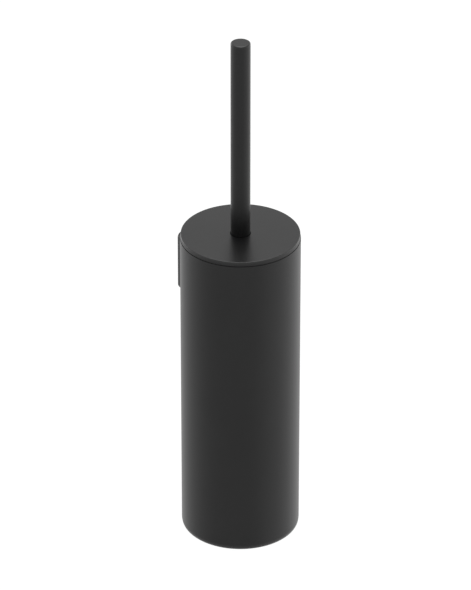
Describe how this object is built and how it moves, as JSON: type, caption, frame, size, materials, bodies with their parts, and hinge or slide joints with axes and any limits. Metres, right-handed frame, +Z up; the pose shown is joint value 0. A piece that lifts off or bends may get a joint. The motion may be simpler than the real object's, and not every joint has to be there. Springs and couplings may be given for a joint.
{
  "type": "toilet brush holder",
  "caption": "Wall-hung toilet brush set: round matt black canister on a square wall plate, lift-out liner, flat lid and a slim round handle with a bristle brush.",
  "frame": {"origin": "centre of the canister's underside, on the canister's axis", "axes": "+Z up along the canister and the handle, +Y towards the wall, square to the wall plate, -Y to the front"},
  "size_m": [0.0902, 0.0961, 0.41],
  "materials": {
    "black_paint": "satin",
    "steel": "satin",
    "black_plastic": "matt",
    "bristle": "satin"
  },
  "bodies": {
    "holder": {"canister_shell": "black_paint", "back_plate": "black_paint", "plate_screws": "steel", "screw_washers": "steel", "lock_screw": "steel"},
    "wall_bracket": {"wall_bracket": "steel"},
    "liner": {"liner": "black_plastic"},
    "lid": {"lid_cover": "black_paint", "lid_insert": "black_plastic", "lid_bush": "black_plastic"},
    "brush": {"handle_tube": "black_paint", "handle_neck": "steel", "neck_washer": "steel", "retaining_nut": "steel", "brush_stem": "steel", "brush_core": "black_plastic", "tufts_row_1": "bristle", "tufts_row_2": "bristle", "tufts_row_3": "bristle", "tufts_row_4": "bristle", "tufts_row_5": "bristle", "tufts_row_6": "bristle", "tufts_row_7": "bristle", "tufts_end_ring": "bristle", "tufts_tip_ring": "bristle"}
  },
  "joints": [
    {"name": "bracket_unhook", "type": "slide", "parent": "holder", "child": "wall_bracket", "axis": [0, 0, -1], "range_m": [0, 0.003]},
    {"name": "liner_lift", "type": "slide", "parent": "holder", "child": "liner", "axis": [0, 0, 1], "range_m": [0, 0.25]},
    {"name": "lid_lift", "type": "slide", "parent": "liner", "child": "lid", "axis": [0, 0, 1], "range_m": [0, 0.245]},
    {"name": "brush_turn", "type": "hinge", "parent": "lid", "child": "brush", "pos_m": [0, 0, 0.25], "axis": [0, 0, 1], "continuous": true}
  ]
}
